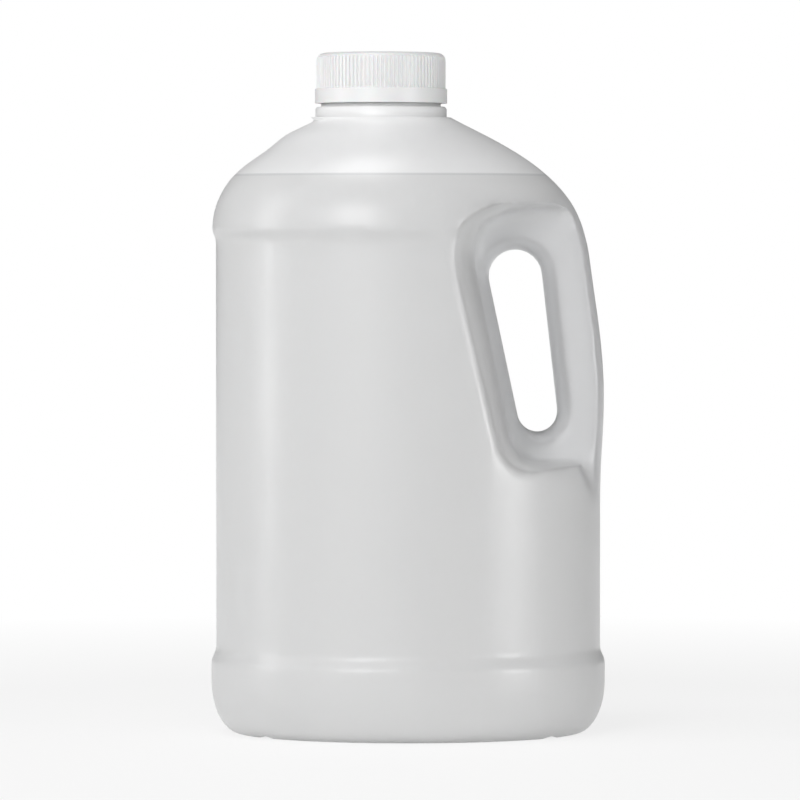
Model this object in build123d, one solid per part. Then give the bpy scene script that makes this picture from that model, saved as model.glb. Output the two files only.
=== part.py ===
"""One-gallon jug of paint thinner, blow moulded in natural plastic with a handle through its side.

Millimetres. +Z is up, X runs across the jug towards the handle, Y is its depth.
The origin is on the floor, under the middle of the oblong foot.
"""
import os
from math import acos, atan2, cos, hypot, pi, radians, sin, tan

from build123d import *

# The blown wall, and the gap that keeps the liquid clear of it
WALL = 1.2
LIQUID_GAP = 0.3

# Foot, bumper and side panel
PANEL_HALF_WIDTH = 86.5
PANEL_HALF_DEPTH = 65.0
BUMPER_PROUD = 2.2
BUMPER_TOP_Z = 33.0
BUMPER_STEP = 4.5
HEEL_HEIGHT = 24.0
HEEL_REACH = 13.0
FOOT_RING_WIDTH = 9.0
BASE_RISE = 4.0
BASE_RISE_SLOPE = 5.0
FOOT_NOTCH_X = 63.0
FOOT_NOTCH_WIDTH = 4.0
FOOT_NOTCH_DEPTH = 1.3

# Panel top, the bead over it and the sloping shoulder
PANEL_TOP_Z = 222.5
BEAD_STEP = 3.5
BEAD_PROUD = 1.7
SHOULDER_TOP_Z = 276.8
SHOULDER_TOP_RADIUS = 31.5
SHOULDER_SLOPE_LEFT = 36.0
SHOULDER_SLOPE_FRONT = 40.0
SHOULDER_SLOPE_BACK = 28.0

# Neck finish
NECK_X = -12.2
NECK_RADIUS = 26.9
NECK_BORE_RADIUS = 23.6
NECK_ROOT_WALLS = 2.0
COLLAR_RADIUS = 29.5
COLLAR_HEIGHT = 4.8
COLLAR_CHAMFER = 0.8
SHANK_HEIGHT = 1.6
FINISH_RADIUS = 25.6
LIP_ROUND = 0.6

# Handle: the finger hole, the pinched web round it and the flat faces of the grip.
# The outlines are round corners (X, Z, radius) in the front view, joined by straight tangents.
GRIP_HALF_DEPTH = 14.0
WEB_THICKNESS = 3.0
PINCH_WIDTH = 2.5
FINGER_HOLE = [(48.2, 205.6, 12.0), (58.1, 144.6, 9.0)]
FUNNEL_REACH = 6.0
RECESS = [(48.5, 215.5, 20.0), (57.5, 135.0, 12.6), (125.0, 135.0, 12.6), (125.0, 153.0, 20.0), (61.5, 217.5, 19.5)]
GRIP_HEEL = [(90.0, 126.0, 13.0), (97.0, 104.0, 12.0)]
RECESS_REACH = 12.0
RECESS_RISE = 36.0
RECESS_CREASE = 3.5
ROLL_END = 80.0
CLEAR_DEPTH = 60.0

# Level of the liquid
LIQUID_LEVEL_Z = 251.0

# Screw thread, one start and right hand
THREAD_PITCH = 4.233
THREAD_HEIGHT = 1.3
CAP_THREAD_HEIGHT = 1.2
THREAD_ROOT = 2.2
THREAD_CREST = 1.0
THREAD_SUNK = 0.3
THREAD_TURNS = 1.25
THREAD_BELOW_RIM = 10.5

# Cap
CAP_HEIGHT = 23.0
CAP_BAND_RADIUS = 29.7
CAP_BAND_HEIGHT = 6.6
CAP_BAND_CHAMFER = 0.4
CAP_GRIP_RADIUS = 29.0
CAP_BORE_RADIUS = 27.3
CAP_TOP_WALL = 1.8
CAP_CROWN = 0.5
CAP_CORNER = 3.4
RIB_COUNT = 96
RIB_HEIGHT = 0.6
RIB_FOOT = 1.1
RIB_CREST = 0.5
LINER_THICKNESS = 1.2
LINER_GAP = 0.4

foot_half_width = PANEL_HALF_WIDTH + BUMPER_PROUD
foot_half_depth = PANEL_HALF_DEPTH + BUMPER_PROUD
bumper_step_top_z = BUMPER_TOP_Z + BUMPER_STEP
bead_top_z = PANEL_TOP_Z + BEAD_STEP
collar_top_z = SHOULDER_TOP_Z + COLLAR_HEIGHT
cap_bottom_z = collar_top_z + SHANK_HEIGHT
cap_top_z = cap_bottom_z + CAP_HEIGHT
liner_top_z = cap_top_z - CAP_CROWN - CAP_TOP_WALL
rim_z = liner_top_z - LINER_THICKNESS
thread_start_z = rim_z - THREAD_BELOW_RIM

# Back of the grip, seen from the front, from the middle of the jug up to the shoulder
BACK_OF_GRIP = [(86.5, 108.0), (88.1, 146.0), (86.6, 177.0), (82.9, 204.0), (75.1, 235.5), (59.5, 253.4)]
grip_back = Spline(
    *[(x, 0, z) for x, z in BACK_OF_GRIP],
    (NECK_X + SHOULDER_TOP_RADIUS, 0, SHOULDER_TOP_Z),
    tangents=[(0, 0, 1), (-cos(radians(SHOULDER_SLOPE_BACK)), 0, sin(radians(SHOULDER_SLOPE_BACK)))],
)


def grip_back_reach(height, inset):
    """X of the grip's back at a height, moved in square to the surface."""
    low, high = 0.0, 1.0
    for _ in range(40):
        middle = (low + high) / 2
        along = grip_back % middle
        point = grip_back @ middle - Vector(along.Z, 0, -along.X) * inset
        if point.Z < height:
            low = middle
        else:
            high = middle
    return point.X


def shoulder_reach(height, foot_reach, slope, inset):
    """Distance from the neck's axis to a shoulder that is a cone above and rounds over below."""
    steep, lean, upright = tan(radians(slope)), sin(radians(slope)), cos(radians(slope))
    rise = SHOULDER_TOP_Z - bead_top_z
    radius = (rise - steep * (foot_reach - SHOULDER_TOP_RADIUS)) / (upright - steep * (1 - lean))
    inner, up = radius - inset, height - bead_top_z
    if up < inner * upright:
        return foot_reach - radius + (inner**2 - up**2) ** 0.5
    return foot_reach - radius + inner * lean + (inner * upright - up) / steep


def plan(height, left, right, half_depth):
    """Oblong section of the jug at a height."""
    return Pos((left + right) / 2, 0, height) * Ellipse((right - left) / 2, half_depth)


def tank(inset):
    """The jug below its neck, without the handle, as a solid drawn in by inset."""
    heel = []
    for angle in range(90, -1, -15):
        out = (HEEL_REACH - inset) * cos(radians(angle)) - HEEL_REACH
        height = HEEL_HEIGHT - (HEEL_HEIGHT - inset) * sin(radians(angle))
        heel.append(plan(height, -foot_half_width - out, foot_half_width + out, foot_half_depth + out))
    bumper = plan(HEEL_HEIGHT, inset - foot_half_width, foot_half_width - inset, foot_half_depth - inset)

    half_depth = PANEL_HALF_DEPTH - inset
    left = inset - PANEL_HALF_WIDTH
    panel_foot = plan(bumper_step_top_z, left, PANEL_HALF_WIDTH - inset, half_depth)
    lowest = BACK_OF_GRIP[0][1]
    panel = []
    for step in range(9):
        height = lowest + (PANEL_TOP_Z - lowest) * step / 8
        panel.append(plan(height, left, grip_back_reach(height, inset), half_depth))

    shoulder = []
    shoulder_rise = SHOULDER_TOP_Z - NECK_ROOT_WALLS * inset - bead_top_z
    for step in range(9):
        height = bead_top_z + shoulder_rise * step / 8
        reach_left = shoulder_reach(height, NECK_X + PANEL_HALF_WIDTH + BEAD_PROUD, SHOULDER_SLOPE_LEFT, inset)
        reach_front = shoulder_reach(height, PANEL_HALF_DEPTH + BEAD_PROUD, SHOULDER_SLOPE_FRONT, inset)
        shoulder.append(plan(height, NECK_X - reach_left, grip_back_reach(height, inset), reach_front))

    bumper_top = Pos(0, 0, BUMPER_TOP_Z - HEEL_HEIGHT) * bumper
    return (
        loft(heel)
        + extrude(bumper, BUMPER_TOP_Z - HEEL_HEIGHT)
        + loft([bumper_top, panel_foot], ruled=True)
        + extrude(panel_foot, lowest - bumper_step_top_z)
        + loft(panel)
        + loft([panel[-1], shoulder[0]], ruled=True)
        + loft(shoulder)
    )


def outline_face(circles, growth, depth):
    """Face round grown circles with straight tangents between them, on a plane depth in front of the middle."""
    tangents = []
    for (x, z, radius), (next_x, next_z, next_radius) in zip(circles, circles[1:] + circles[:1]):
        heading = atan2(next_z - z, next_x - x)
        tangents.append(heading - acos((radius - next_radius) / hypot(next_x - x, next_z - z)))
    arcs = []
    for number, (x, z, radius) in enumerate(circles):
        turn = (tangents[number] - tangents[number - 1]) % (2 * pi)
        points = []
        for share in (0, 0.5, 1):
            angle = tangents[number - 1] + turn * share
            points.append((x + (radius + growth) * cos(angle), z + (radius + growth) * sin(angle)))
        arcs.append(ThreePointArc(*points))
    joins = [Line(arc @ 1, following @ 0) for arc, following in zip(arcs, arcs[1:] + arcs[:1])]
    return Plane.XZ.offset(depth) * make_face(arcs + joins)


def rolled_lip(circles, inset, foot, rise, reach):
    """Flared mouth that rolls outwards by reach while it rises from its foot's depth, then runs straight out."""
    levels = []
    for step in range(5):
        angle = radians(ROLL_END * step / 4)
        growth = reach - (reach - inset) * cos(angle)
        levels.append(outline_face(circles, growth, foot + (rise - inset) * sin(angle)))
    return loft(levels) + extrude(levels[-1], CLEAR_DEPTH)


def handle_hollow(inset):
    """What the handle takes out of the jug: a hollow in each side, funnelled to the finger hole."""
    floor = GRIP_HALF_DEPTH - inset
    front = extrude(outline_face(RECESS, inset, floor), CLEAR_DEPTH)
    front += extrude(outline_face(GRIP_HEEL, inset, floor), CLEAR_DEPTH)
    creases = front.edges().filter_by_position(Axis.Y, -floor - 0.01, -floor + 0.01)
    front = fillet(creases, RECESS_CREASE + inset)
    for circles in (RECESS, GRIP_HEEL):
        front += rolled_lip(circles, inset, PANEL_HALF_DEPTH - RECESS_RISE, RECESS_RISE, RECESS_REACH)
    web = WEB_THICKNESS / 2
    front += rolled_lip(FINGER_HOLE, inset, web, GRIP_HALF_DEPTH - web, FUNNEL_REACH)
    pinched = PINCH_WIDTH + inset - WALL if inset else 0
    hole = extrude(outline_face(FINGER_HOLE, pinched, 0), GRIP_HALF_DEPTH / 2, both=True)
    return front + mirror(front, Plane.XZ) + hole


def base_hollow(inset):
    """Push-up under the foot, inside its standing ring, and the two notches across the ring."""
    half_width = foot_half_width - HEEL_REACH - FOOT_RING_WIDTH + inset
    half_depth = foot_half_depth - HEEL_REACH - FOOT_RING_WIDTH + inset
    roof = Pos(0, 0, BASE_RISE + inset) * Ellipse(half_width - BASE_RISE_SLOPE, half_depth - BASE_RISE_SLOPE)
    hollow = loft([Sketch() + Ellipse(half_width, half_depth), roof], ruled=True)
    for side in (-1, 1):
        size = (FOOT_NOTCH_WIDTH + 2 * inset, 2 * foot_half_depth, 2 * (FOOT_NOTCH_DEPTH + inset))
        hollow += Pos(side * FOOT_NOTCH_X, 0, 0) * Box(*size)
    return hollow


def jug_form(inset):
    """The whole jug below its neck, drawn in by inset."""
    return tank(inset) - handle_hollow(inset) - base_hollow(inset)


def ring(radius, bottom, top):
    """Round plug on the neck's axis."""
    return Pos(NECK_X, 0, bottom) * extrude(Circle(radius), top - bottom)


def thread(root_radius, height, start_z):
    """Thread ridge on the neck's axis, standing out from its root by height, or inwards if that is negative."""
    sunk = root_radius - (THREAD_SUNK if height > 0 else -THREAD_SUNK)
    crest = root_radius + height
    section = Polyline(
        (sunk, 0, -THREAD_ROOT / 2),
        (crest, 0, -THREAD_CREST / 2),
        (crest, 0, THREAD_CREST / 2),
        (sunk, 0, THREAD_ROOT / 2),
        close=True,
    )
    path = Helix(THREAD_PITCH, THREAD_PITCH * THREAD_TURNS, root_radius)
    return Pos(NECK_X, 0, start_z) * sweep(make_face(section), path=path, is_frenet=True)


def make_bottle():
    """Blown shell: the jug at full size and its neck, less the same jug drawn in by the wall."""
    collar = ring(COLLAR_RADIUS, SHOULDER_TOP_Z, collar_top_z)
    collar = chamfer(collar.edges().group_by(Axis.Z)[-1], COLLAR_CHAMFER)
    finish = ring(FINISH_RADIUS, collar_top_z, rim_z)
    finish = fillet(finish.edges().group_by(Axis.Z)[-1], LIP_ROUND)
    shank = ring(NECK_RADIUS, collar_top_z, cap_bottom_z + SHANK_HEIGHT)
    neck = collar + shank + finish + thread(FINISH_RADIUS, THREAD_HEIGHT, thread_start_z)
    mouth = ring(NECK_BORE_RADIUS, SHOULDER_TOP_Z - NECK_BORE_RADIUS, rim_z)
    return jug_form(0) + neck - jug_form(WALL) - mouth


def make_thinner():
    """The liquid, which fills the jug and its hollow handle up to a level surface."""
    room = 2 * foot_half_width
    below_level = Pos(0, 0, LIQUID_LEVEL_Z - room) * Box(2 * room, room, 2 * room)
    return jug_form(WALL + LIQUID_GAP) & below_level


def make_cap():
    """Screw cap with fine grip ribs, a plain band at its foot and a thread inside."""
    crown_edge = (CAP_GRIP_RADIUS - CAP_CORNER, cap_top_z - CAP_CROWN)
    side_top = (CAP_GRIP_RADIUS, cap_top_z - CAP_CROWN - CAP_CORNER)
    crown_middle = (crown_edge[0] / 2, cap_top_z - CAP_CROWN / 4)
    corner_middle = (
        crown_edge[0] + CAP_CORNER * sin(radians(45)),
        side_top[1] + CAP_CORNER * cos(radians(45)),
    )
    outline = (
        ThreePointArc((0, cap_top_z), crown_middle, crown_edge)
        + ThreePointArc(crown_edge, corner_middle, side_top)
        + Polyline(side_top, (CAP_GRIP_RADIUS, cap_bottom_z), (0, cap_bottom_z), (0, cap_top_z))
    )
    envelope = Pos(NECK_X, 0, 0) * revolve(Plane.XZ * make_face(outline), Axis.Z)

    root = CAP_GRIP_RADIUS - RIB_HEIGHT
    rib = ((root, -RIB_FOOT), (CAP_GRIP_RADIUS, -RIB_CREST), (CAP_GRIP_RADIUS, RIB_CREST), (root, RIB_FOOT))
    ribbed = []
    for number in range(RIB_COUNT):
        for radius, width in rib:
            angle = 2 * pi * number / RIB_COUNT + width / 2 / radius
            ribbed.append((radius * cos(angle), radius * sin(angle)))
    grip = Pos(NECK_X, 0, cap_bottom_z) * extrude(Polygon(*ribbed, align=None), CAP_HEIGHT) & envelope

    band = ring(CAP_BAND_RADIUS, cap_bottom_z, cap_bottom_z + CAP_BAND_HEIGHT)
    band = chamfer(band.edges().group_by(Axis.Z)[-1], CAP_BAND_CHAMFER)
    bore = ring(CAP_BORE_RADIUS, cap_bottom_z, liner_top_z)
    inner_thread = thread(CAP_BORE_RADIUS, -CAP_THREAD_HEIGHT, thread_start_z - THREAD_PITCH / 2)
    return grip + band - bore + inner_thread


def make_cap_liner():
    """Sealing disc between the cap's roof and the rim of the neck."""
    return ring(CAP_BORE_RADIUS - LINER_GAP, rim_z, liner_top_z)


os.makedirs("parts", exist_ok=True)
export_step(make_bottle(), "parts/bottle.step")
export_step(make_thinner(), "parts/thinner.step")
export_step(make_cap(), "parts/cap.step")
export_step(make_cap_liner(), "parts/cap_liner.step")
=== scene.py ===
from math import radians

import bmesh
import bpy
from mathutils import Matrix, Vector


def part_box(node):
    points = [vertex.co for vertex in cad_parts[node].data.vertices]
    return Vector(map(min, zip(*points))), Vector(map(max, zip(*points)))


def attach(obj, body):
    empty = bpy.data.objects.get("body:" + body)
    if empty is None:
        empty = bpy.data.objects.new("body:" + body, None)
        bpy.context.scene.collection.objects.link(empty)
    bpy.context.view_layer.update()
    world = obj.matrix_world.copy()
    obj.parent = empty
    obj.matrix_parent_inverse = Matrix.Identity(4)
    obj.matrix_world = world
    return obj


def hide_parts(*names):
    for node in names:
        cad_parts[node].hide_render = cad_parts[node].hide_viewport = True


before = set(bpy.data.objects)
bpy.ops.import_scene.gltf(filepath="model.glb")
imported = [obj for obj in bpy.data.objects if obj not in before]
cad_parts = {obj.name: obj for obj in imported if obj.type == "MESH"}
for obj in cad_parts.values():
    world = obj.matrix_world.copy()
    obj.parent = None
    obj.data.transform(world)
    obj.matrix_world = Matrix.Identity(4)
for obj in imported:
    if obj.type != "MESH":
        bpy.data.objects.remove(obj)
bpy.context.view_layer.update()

# The photograph's frame: one pixel at the jug's middle plane, and where that plane's origin lies in it
PHOTO_PIXELS = 800
PIXEL = 0.00045
ORIGIN_PIXEL = (408.2, 733.0)
EYE_PIXEL_Y = 235.0
CAMERA_DISTANCE = 2.42
SENSOR = 36.0

# Places on the object that the finishes follow
LIQUID_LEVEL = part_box("thinner")[1].z
LEVEL_LINE = 0.0007
NECK_AXIS = (sum(corner.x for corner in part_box("cap")) / 2, 0.0, 0.0)
CAP_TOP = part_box("cap")[1].z
PARTING_LINE = 0.00025

# The jug's soft outer skin: its cells, where it and the neck are cut, and how often and far it is smoothed
SKIN_CELL = 0.00165
NECK_SEAM = 0.2745
SKIN_SEAM = 0.2715
SKIN_PASSES, SKIN_MOVE = 1, 0.0008
HANDLE_PASSES, HANDLE_MOVE = 26, 0.0009
STANDING_EDGE = 0.0004
TRIM_CLEAR = 0.002
SAME_POINT = 1e-6
SAME_HEIGHT = 1e-5
CREASE_ANGLE = radians(40)

# Where the handle's edges roll over: foot, head, two points (x, z) of the left edge, half the web's width
HANDLE_FOOT, HANDLE_HEAD = 0.090, 0.246
HANDLE_LEFT = ((0.016, 0.215), (0.038, 0.130))
WEB_CLEAR = 0.007

# The studio
JUG_MIDDLE = (0, 0, 0.15)
SURROUND_LIGHT = 0.22
FLOOR_SIZE = 5.0
SHADOW_NEAR = 0.30
SHADOW_FAR = 0.75
SHADOW_SHOWN = 0.20


def photo_height(pixel_y):
    """Height over the floor of a row of the photograph, on the jug's middle plane."""
    return (ORIGIN_PIXEL[1] - pixel_y) * PIXEL


def make_camera():
    """Level with the jug's upper bead, looking slightly down at the middle of the frame."""
    data = bpy.data.cameras.new("camera")
    data.sensor_width = SENSOR
    data.lens = SENSOR * CAMERA_DISTANCE / (PHOTO_PIXELS * PIXEL)
    data.clip_start, data.clip_end = 0.1, 20.0
    camera = bpy.data.objects.new("camera", data)
    bpy.context.scene.collection.objects.link(camera)
    middle_x = (PHOTO_PIXELS / 2 - ORIGIN_PIXEL[0]) * PIXEL
    eye = Vector((middle_x, -CAMERA_DISTANCE, photo_height(EYE_PIXEL_Y)))
    target = Vector((middle_x, 0.0, photo_height(PHOTO_PIXELS / 2)))
    camera.location = eye
    camera.rotation_mode = "QUATERNION"
    camera.rotation_quaternion = (target - eye).to_track_quat("-Z", "Y")
    bpy.context.scene.camera = camera


# Small builders for the node trees


def new_material(name):
    """A material, its Principled shader and its node tree."""
    material = bpy.data.materials.new(name)
    material.use_nodes = True
    return material, material.node_tree.nodes["Principled BSDF"], material.node_tree


def add_node(tree, kind, **settings):
    node = tree.nodes.new("ShaderNode" + kind)
    for name, value in settings.items():
        setattr(node, name, value)
    return node


def join(tree, source, target):
    tree.links.new(source, target)


def add_noise(tree, coordinates, scale, detail=3.0, roughness=0.5):
    noise = add_node(tree, "TexNoise")
    noise.inputs["Scale"].default_value = scale
    noise.inputs["Detail"].default_value = detail
    noise.inputs["Roughness"].default_value = roughness
    join(tree, coordinates, noise.inputs["Vector"])
    return noise.outputs["Fac"]


def add_math(tree, operation, first, second=None, clamp=False):
    """Math node whose inputs are numbers or other nodes' outputs."""
    node = add_node(tree, "Math", operation=operation, use_clamp=clamp)
    for socket, value in zip(node.inputs, (first, second)):
        if value is None:
            continue
        if isinstance(value, (int, float)):
            socket.default_value = value
        else:
            join(tree, value, socket)
    return node.outputs[0]


def add_range(tree, value, low, high, to_low=0.0, to_high=1.0):
    """Maps a value from one span to another, and holds it at the ends."""
    node = add_node(tree, "MapRange")
    join(tree, value, node.inputs["Value"])
    for name, number in (("From Min", low), ("From Max", high), ("To Min", to_low), ("To Max", to_high)):
        node.inputs[name].default_value = number
    return node.outputs["Result"]


def add_colour_mix(tree, factor, first, second):
    """Mixes two colours, each given as numbers or as another node's output."""
    node = add_node(tree, "Mix", data_type="RGBA")
    join(tree, factor, node.inputs["Factor"])
    for name, colour in (("A", first), ("B", second)):
        socket = [s for s in node.inputs if s.name == name and s.type == "RGBA"][0]
        if isinstance(colour, tuple):
            socket.default_value = (*colour, 1.0)
        else:
            join(tree, colour, socket)
    return [s for s in node.outputs if s.type == "RGBA"][0]


def add_scaled_coordinates(tree, coordinates, scale, location=(0, 0, 0)):
    mapping = add_node(tree, "Mapping")
    mapping.inputs["Scale"].default_value = scale
    mapping.inputs["Location"].default_value = location
    join(tree, coordinates, mapping.inputs["Vector"])
    return mapping.outputs["Vector"]


def add_bumps(tree, shader, heights):
    """Chains Bump nodes, each from a height, a strength and a depth in metres, into the shader's normal."""
    normal = None
    for height, strength, distance in heights:
        bump = add_node(tree, "Bump")
        bump.inputs["Strength"].default_value = strength
        bump.inputs["Distance"].default_value = distance
        join(tree, height, bump.inputs["Height"])
        if normal:
            join(tree, normal, bump.inputs["Normal"])
        normal = bump.outputs["Normal"]
    join(tree, normal, shader.inputs["Normal"])


def make_handling_group():
    """Faint scuffs and settled dust of a plastic surface that has been on a shelf."""
    group = bpy.data.node_groups.new("shelf_handling", "ShaderNodeTree")
    for name, kind in (("Coordinates", "NodeSocketVector"), ("Scuff Scale", "NodeSocketFloat")):
        group.interface.new_socket(name, in_out="INPUT", socket_type=kind)
    for name in ("Scuffs", "Haze"):
        group.interface.new_socket(name, in_out="OUTPUT", socket_type="NodeSocketFloat")
    inlet = group.nodes.new("NodeGroupInput")
    outlet = group.nodes.new("NodeGroupOutput")
    coordinates = inlet.outputs["Coordinates"]

    fine = add_node(group, "TexNoise")
    join(group, add_scaled_coordinates(group, coordinates, (1.0, 1.0, 0.18)), fine.inputs["Vector"])
    join(group, inlet.outputs["Scuff Scale"], fine.inputs["Scale"])
    fine.inputs["Detail"].default_value = 5.0
    patches = add_noise(group, coordinates, 14.0, 2.0)
    worn = add_range(group, fine.outputs["Fac"], 0.60, 0.72)
    worn = add_math(group, "MULTIPLY", worn, add_range(group, patches, 0.5, 0.7))
    join(group, worn, outlet.inputs["Scuffs"])
    join(group, add_range(group, add_noise(group, coordinates, 30.0, 4.0), 0.35, 0.75), outlet.inputs["Haze"])
    return group


def place_handling(tree, coordinates, scuff_scale):
    node = add_node(tree, "Group", node_tree=handling_group)
    node.inputs["Scuff Scale"].default_value = scuff_scale
    join(tree, coordinates, node.inputs["Coordinates"])
    return node.outputs["Scuffs"], node.outputs["Haze"]


def make_jug_plastic():
    """Milky blown polyethylene, wet up to the liquid's level, lighter over it, with painted shade in the
    handle's hollows.
    """
    material, shader, tree = new_material("milky_polyethylene")
    coordinates = add_node(tree, "TexCoord").outputs["Object"]
    place = add_node(tree, "SeparateXYZ")
    join(tree, coordinates, place.inputs[0])
    height = place.outputs["Z"]

    wall_thickness = add_noise(tree, add_scaled_coordinates(tree, coordinates, (1.0, 1.0, 0.35)), 9.0, 2.0)
    streaks = add_noise(tree, add_scaled_coordinates(tree, coordinates, (1.0, 1.0, 0.06)), 55.0, 3.0)
    wet = add_colour_mix(tree, wall_thickness, (0.735, 0.74, 0.738), (0.775, 0.775, 0.768))
    dry = add_colour_mix(tree, wall_thickness, (0.93, 0.935, 0.935), (0.95, 0.95, 0.945))
    over = add_range(tree, height, LIQUID_LEVEL - 0.0004, LIQUID_LEVEL + 0.0004)
    milky = add_colour_mix(tree, over, wet, dry)
    near_level = add_math(tree, "ABSOLUTE", add_math(tree, "SUBTRACT", height, LIQUID_LEVEL))
    line = add_range(tree, near_level, LEVEL_LINE * 0.4, LEVEL_LINE, 0.42, 0.0)
    lined = add_colour_mix(tree, line, milky, (0.50, 0.51, 0.52))
    from_parting = add_math(tree, "ABSOLUTE", place.outputs["Y"])
    # Painted shade: the handle's hollows, near the middle plane and right of the handle's left edge, are mixed
    # towards a darker grey
    recess_shade = add_math(tree, "MULTIPLY", add_range(tree, from_parting, 0.010, 0.050, 1.0, 0.0),
                         add_range(tree, place.outputs["X"], 0.018, 0.034))
    recess_shade = add_math(tree, "MULTIPLY", recess_shade, add_range(tree, height, 0.100, 0.125))
    recess_shade = add_math(tree, "MULTIPLY", recess_shade, add_range(tree, height, 0.232, 0.242, 1.0, 0.0))
    recess_shaded = add_colour_mix(tree, recess_shade, lined, (0.77, 0.775, 0.78))
    scuffs, haze = place_handling(tree, coordinates, 260.0)
    streaked = add_colour_mix(tree, add_range(tree, streaks, 0.35, 0.8, 0.0, 0.10), recess_shaded, (0.68, 0.69, 0.70))
    marked = add_colour_mix(tree, add_math(tree, "MULTIPLY", scuffs, 0.06), streaked, (0.97, 0.97, 0.97))
    join(tree, marked, shader.inputs["Base Color"])

    matt = add_math(tree, "ADD", add_range(tree, haze, 0.0, 1.0, 0.30, 0.37),
                    add_math(tree, "MULTIPLY", scuffs, 0.15))
    join(tree, matt, shader.inputs["Roughness"])
    shader.inputs["IOR"].default_value = 1.51
    shader.inputs["Subsurface Weight"].default_value = 0.35
    shader.inputs["Subsurface Radius"].default_value = (1.0, 1.0, 0.95)
    shader.inputs["Subsurface Scale"].default_value = 0.006

    parting = add_range(tree, from_parting, PARTING_LINE * 0.4, PARTING_LINE, 1.0, 0.0)
    skin = add_noise(tree, coordinates, 900.0, 2.0)
    waves = add_noise(tree, add_scaled_coordinates(tree, coordinates, (1.0, 1.0, 0.5)), 26.0, 2.0)
    add_bumps(tree, shader, [(waves, 0.25, 0.0010), (skin, 0.12, 0.00015), (parting, 0.6, 0.00015)])
    return material


def make_liquid():
    """Clear mineral spirits."""
    material, shader, tree = new_material("clear_spirits")
    coordinates = add_node(tree, "TexCoord").outputs["Object"]
    cloud = add_noise(tree, coordinates, 12.0, 2.0)
    join(tree, add_colour_mix(tree, cloud, (0.95, 0.96, 0.95), (0.98, 0.98, 0.97)), shader.inputs["Base Color"])
    join(tree, add_range(tree, cloud, 0.0, 1.0, 0.02, 0.06), shader.inputs["Roughness"])
    shader.inputs["Transmission Weight"].default_value = 1.0
    shader.inputs["IOR"].default_value = 1.43
    return material


def make_cap_plastic():
    """White injection-moulded polypropylene, with faint turning marks round the gate on top."""
    material, shader, tree = new_material("white_polypropylene")
    coordinates = add_node(tree, "TexCoord").outputs["Object"]
    scuffs, haze = place_handling(tree, coordinates, 420.0)
    tone = add_colour_mix(tree, haze, (0.84, 0.845, 0.85), (0.875, 0.875, 0.87))
    join(tree, add_colour_mix(tree, add_math(tree, "MULTIPLY", scuffs, 0.3), tone, (0.95, 0.95, 0.95)),
         shader.inputs["Base Color"])
    matt = add_math(tree, "ADD", add_range(tree, haze, 0.0, 1.0, 0.34, 0.44),
                    add_math(tree, "MULTIPLY", scuffs, 0.12))
    join(tree, matt, shader.inputs["Roughness"])
    shader.inputs["IOR"].default_value = 1.49
    shader.inputs["Subsurface Weight"].default_value = 0.12
    shader.inputs["Subsurface Scale"].default_value = 0.0015

    centred = add_scaled_coordinates(tree, coordinates, (1, 1, 1), (-NECK_AXIS[0], 0, -CAP_TOP))
    place = add_node(tree, "SeparateXYZ")
    join(tree, centred, place.inputs[0])
    flat = add_scaled_coordinates(tree, centred, (1, 1, 0))
    radius = add_node(tree, "VectorMath", operation="LENGTH")
    join(tree, flat, radius.inputs[0])
    rings = add_math(tree, "SINE", add_math(tree, "MULTIPLY", radius.outputs["Value"], 9000.0))
    on_top = add_range(tree, place.outputs["Z"], -0.0012, -0.0008)
    turned = add_math(tree, "MULTIPLY", rings, on_top)
    gate = add_range(tree, radius.outputs["Value"], 0.0012, 0.0022, 0.0, 1.0)
    skin = add_noise(tree, coordinates, 1400.0, 2.0)
    add_bumps(tree, shader, [(skin, 0.12, 0.0001), (turned, 0.10, 0.00003), (gate, 0.7, 0.0003)])
    return material


def make_liner_foam():
    """Closed-cell foam of the sealing disc."""
    material, shader, tree = new_material("liner_foam")
    coordinates = add_node(tree, "TexCoord").outputs["Object"]
    cells = add_node(tree, "TexVoronoi")
    cells.inputs["Scale"].default_value = 1800.0
    join(tree, coordinates, cells.inputs["Vector"])
    tone = add_colour_mix(tree, cells.outputs["Distance"], (0.80, 0.80, 0.78), (0.90, 0.90, 0.88))
    join(tree, tone, shader.inputs["Base Color"])
    shader.inputs["Roughness"].default_value = 0.75
    add_bumps(tree, shader, [(cells.outputs["Distance"], 0.5, 0.0002)])
    return material


def finish_node(name, material):
    """Gives a CAD node its finish."""
    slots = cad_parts[name].data.materials
    slots.clear()
    slots.append(material)


def grow_skin(face):
    """All faces that are joined to a face."""
    skin, front = {face}, [face]
    while front:
        for edge in front.pop().edges:
            for neighbour in edge.link_faces:
                if neighbour not in skin:
                    skin.add(neighbour)
                    front.append(neighbour)
    return list(skin)


def boundary_loop(shape, height):
    """Open edges that lie at a height."""
    open_edges = [e for e in shape.edges if e.is_boundary]
    return [e for e in open_edges if all(abs(v.co.z - height) < SAME_HEIGHT for v in e.verts)]


def remeshed(shape, voxel):
    """An even mesh over a closed shape."""
    mesh = bpy.data.meshes.new("rough_skin")
    shape.to_mesh(mesh)
    holder = bpy.data.objects.new("rough_skin", mesh)
    bpy.context.scene.collection.objects.link(holder)
    remesh = holder.modifiers.new("even", "REMESH")
    remesh.mode = "VOXEL"
    remesh.voxel_size = voxel
    even = bpy.data.meshes.new_from_object(holder.evaluated_get(bpy.context.evaluated_depsgraph_get()))
    bpy.data.objects.remove(holder)
    bpy.data.meshes.remove(mesh)
    result = bmesh.new()
    result.from_mesh(even)
    bpy.data.meshes.remove(even)
    return result


def soften(skin, passes, farthest, chosen):
    """Smooths the chosen points and lets none move farther than a distance."""
    points = [v for v in skin.verts if chosen(v.co)]
    start = {v: v.co.copy() for v in points}
    for _ in range(passes):
        bmesh.ops.smooth_vert(skin, verts=points, factor=0.5, use_axis_x=True, use_axis_y=True,
                              use_axis_z=True)
        for v in points:
            moved = v.co - start[v]
            if moved.length > farthest:
                v.co = start[v] + moved * (farthest / moved.length)


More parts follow.
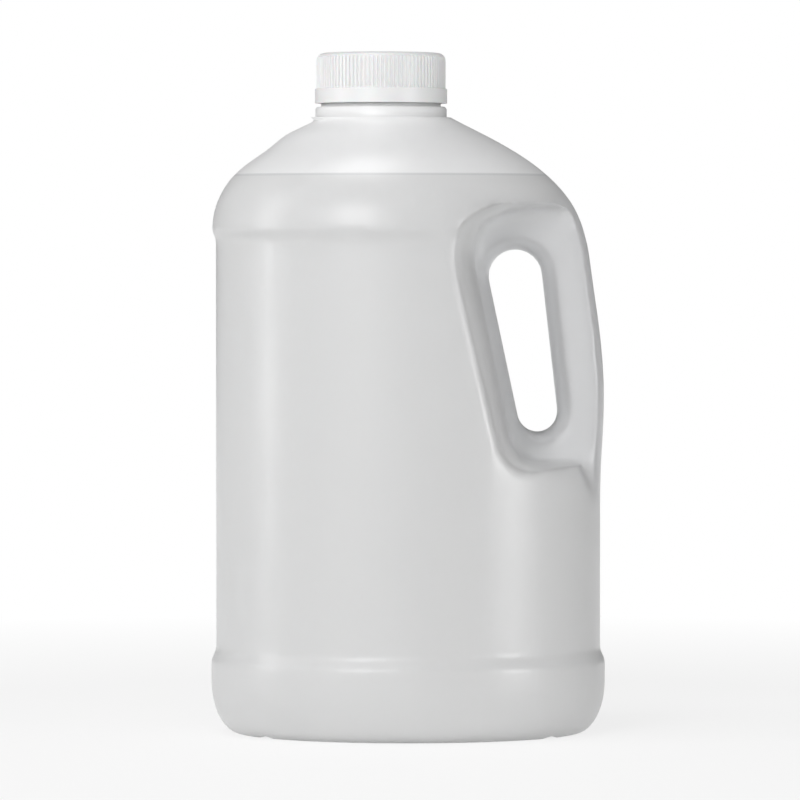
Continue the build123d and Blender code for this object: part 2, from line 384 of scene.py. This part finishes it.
def in_handle(co):
    """Whether a point is near the hollows of the handle, and not at the pinched web of the finger hole."""
    (upper_x, upper_z), (lower_x, lower_z) = HANDLE_LEFT
    share = min(max((upper_z - co.z) / (upper_z - lower_z), 0.0), 1.0)
    left = upper_x + (lower_x - upper_x) * share
    return co.x > left and HANDLE_FOOT < co.z < HANDLE_HEAD and abs(co.y) > WEB_CLEAR


def cut_across(shape, height):
    """Cuts a shape in two at a height."""
    everything = list(shape.verts) + list(shape.edges) + list(shape.faces)
    bmesh.ops.bisect_plane(shape, geom=everything, dist=SAME_POINT, plane_co=(0, 0, height),
                           plane_no=(0, 0, 1))
    seam = [e for e in shape.edges if all(abs(v.co.z - height) < 2 * SAME_POINT for v in e.verts)]
    bmesh.ops.split_edges(shape, edges=seam)


def make_blown_jug(material):
    """The jug again, its outer skin made soft over every edge as blowing leaves it."""
    shape = bmesh.new()
    shape.from_mesh(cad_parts["bottle"].data)
    bmesh.ops.remove_doubles(shape, verts=shape.verts, dist=SAME_POINT)
    cut_across(shape, NECK_SEAM)
    cut_across(shape, SKIN_SEAM)
    outermost = max(shape.verts, key=lambda v: v.co.x)
    outer = grow_skin(outermost.link_faces[0])
    # The strip between the two cuts is left out, and straight bands take its place
    strip = [f for f in shape.faces if SKIN_SEAM < f.calc_center_median().z < NECK_SEAM]

    rough = bmesh.new()
    copies = {}
    for face in outer:
        for v in face.verts:
            if v not in copies:
                copies[v] = rough.verts.new(v.co)
        rough.faces.new([copies[v] for v in face.verts])
    bmesh.ops.contextual_create(rough, geom=boundary_loop(rough, SKIN_SEAM))
    bmesh.ops.triangulate(rough, faces=[f for f in rough.faces if len(f.verts) > 4])
    skin = remeshed(rough, SKIN_CELL)
    rough.free()
    bmesh.ops.delete(shape, geom=outer + strip, context="FACES")

    everything = list(skin.verts) + list(skin.edges) + list(skin.faces)
    trim = SKIN_SEAM - SKIN_CELL
    bmesh.ops.bisect_plane(skin, geom=everything, dist=1e-7, plane_co=(0, 0, trim), plane_no=(0, 0, 1),
                           clear_outer=True)
    soften(skin, SKIN_PASSES, SKIN_MOVE, lambda co: STANDING_EDGE < co.z < trim - TRIM_CLEAR)
    soften(skin, HANDLE_PASSES, HANDLE_MOVE, in_handle)

    mesh = bpy.data.meshes.new("blown_jug_skin")
    skin.to_mesh(mesh)
    skin.free()
    shape.from_mesh(mesh)
    bpy.data.meshes.remove(mesh)
    neck = boundary_loop(shape, NECK_SEAM)
    neck_outside = connected_edges(neck, max(neck, key=lambda e: e.verts[0].co.xy.length))
    neck_inside = [e for e in neck if e not in neck_outside]
    bmesh.ops.bridge_loops(shape, edges=neck_outside + boundary_loop(shape, trim))
    bmesh.ops.bridge_loops(shape, edges=neck_inside + boundary_loop(shape, SKIN_SEAM))
    bmesh.ops.recalc_face_normals(shape, faces=shape.faces)

    jug_mesh = bpy.data.meshes.new("blown_jug")
    shape.to_mesh(jug_mesh)
    shape.free()
    jug_mesh.shade_smooth()
    jug_mesh.set_sharp_from_angle(angle=CREASE_ANGLE)
    jug_mesh.materials.append(material)
    jug = bpy.data.objects.new("blown_jug", jug_mesh)
    bpy.context.scene.collection.objects.link(jug)
    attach(jug, "jug")
    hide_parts("bottle")
    return jug


def connected_edges(edges, first):
    """Those of some edges that form one loop with the first."""
    left = set(edges)
    loop, front = [], [first]
    left.discard(first)
    while front:
        edge = front.pop()
        loop.append(edge)
        for v in edge.verts:
            for other in v.link_edges:
                if other in left:
                    left.discard(other)
                    front.append(other)
    return loop


def add_softbox(name, place, target, size, watts):
    data = bpy.data.lights.new(name, "AREA")
    data.shape = "RECTANGLE"
    data.size, data.size_y = size
    data.energy = watts
    lamp = bpy.data.objects.new(name, data)
    lamp.location = place
    lamp.rotation_mode = "QUATERNION"
    lamp.rotation_quaternion = (Vector(target) - Vector(place)).to_track_quat("-Z", "Y")
    bpy.context.scene.collection.objects.link(lamp)


def make_floor():
    """White floor that shows the jug's shadow near it and fades into the white surround."""
    mesh = bpy.data.meshes.new("floor")
    shape = bmesh.new()
    bmesh.ops.create_grid(shape, x_segments=1, y_segments=1, size=FLOOR_SIZE)
    shape.to_mesh(mesh)
    shape.free()
    floor = bpy.data.objects.new("floor", mesh)
    bpy.context.scene.collection.objects.link(floor)
    material, shader, tree = new_material("white_floor")
    shader.inputs["Base Color"].default_value = (0.92, 0.92, 0.92, 1)
    shader.inputs["Roughness"].default_value = 0.8
    coordinates = add_node(tree, "TexCoord").outputs["Object"]
    distance = add_node(tree, "VectorMath", operation="LENGTH")
    join(tree, coordinates, distance.inputs[0])
    shown = add_range(tree, distance.outputs["Value"], SHADOW_NEAR, SHADOW_FAR, SHADOW_SHOWN, 0.0)
    path = add_node(tree, "LightPath")
    seen = add_math(tree, "MAXIMUM", path.outputs["Is Camera Ray"], path.outputs["Is Glossy Ray"])
    seen = add_math(tree, "MAXIMUM", seen, path.outputs["Is Transmission Ray"])
    white = add_node(tree, "Emission")
    mix = add_node(tree, "MixShader")
    join(tree, add_math(tree, "MULTIPLY", seen, add_math(tree, "SUBTRACT", 1.0, shown)), mix.inputs["Fac"])
    join(tree, shader.outputs["BSDF"], mix.inputs[1])
    join(tree, white.outputs["Emission"], mix.inputs[2])
    join(tree, mix.outputs["Shader"], tree.nodes["Material Output"].inputs["Surface"])
    mesh.materials.append(material)


def make_surround():
    """White to the camera, and an even light on everything else."""
    world = bpy.data.worlds.new("studio")
    bpy.context.scene.world = world
    world.use_nodes = True
    tree = world.node_tree
    background = tree.nodes["Background"]
    background.inputs["Color"].default_value = (1, 1, 1, 1)
    path = add_node(tree, "LightPath")
    join(tree, add_range(tree, path.outputs["Is Camera Ray"], 0, 1, SURROUND_LIGHT, 1.0),
         background.inputs["Strength"])


make_camera()
make_surround()
make_floor()
add_softbox("left_strip", (-1.38, -0.36, 0.40), JUG_MIDDLE, (0.14, 1.2), 6.0)
add_softbox("key_softbox", (-0.75, -1.9, 0.75), JUG_MIDDLE, (0.8, 0.8), 14.0)
add_softbox("low_fill", (1.20, -0.95, 0.18), (0, 0, 0.08), (0.40, 0.40), 5.5)
add_softbox("top_softbox", (-0.25, -0.35, 1.5), JUG_MIDDLE, (0.6, 0.6), 6.0)

handling_group = make_handling_group()
jug_plastic = make_jug_plastic()
finish_node("bottle", jug_plastic)
make_blown_jug(jug_plastic)
finish_node("thinner", make_liquid())
finish_node("cap", make_cap_plastic())
finish_node("cap_liner", make_liner_foam())

bpy.context.scene.view_settings.view_transform = "Standard"
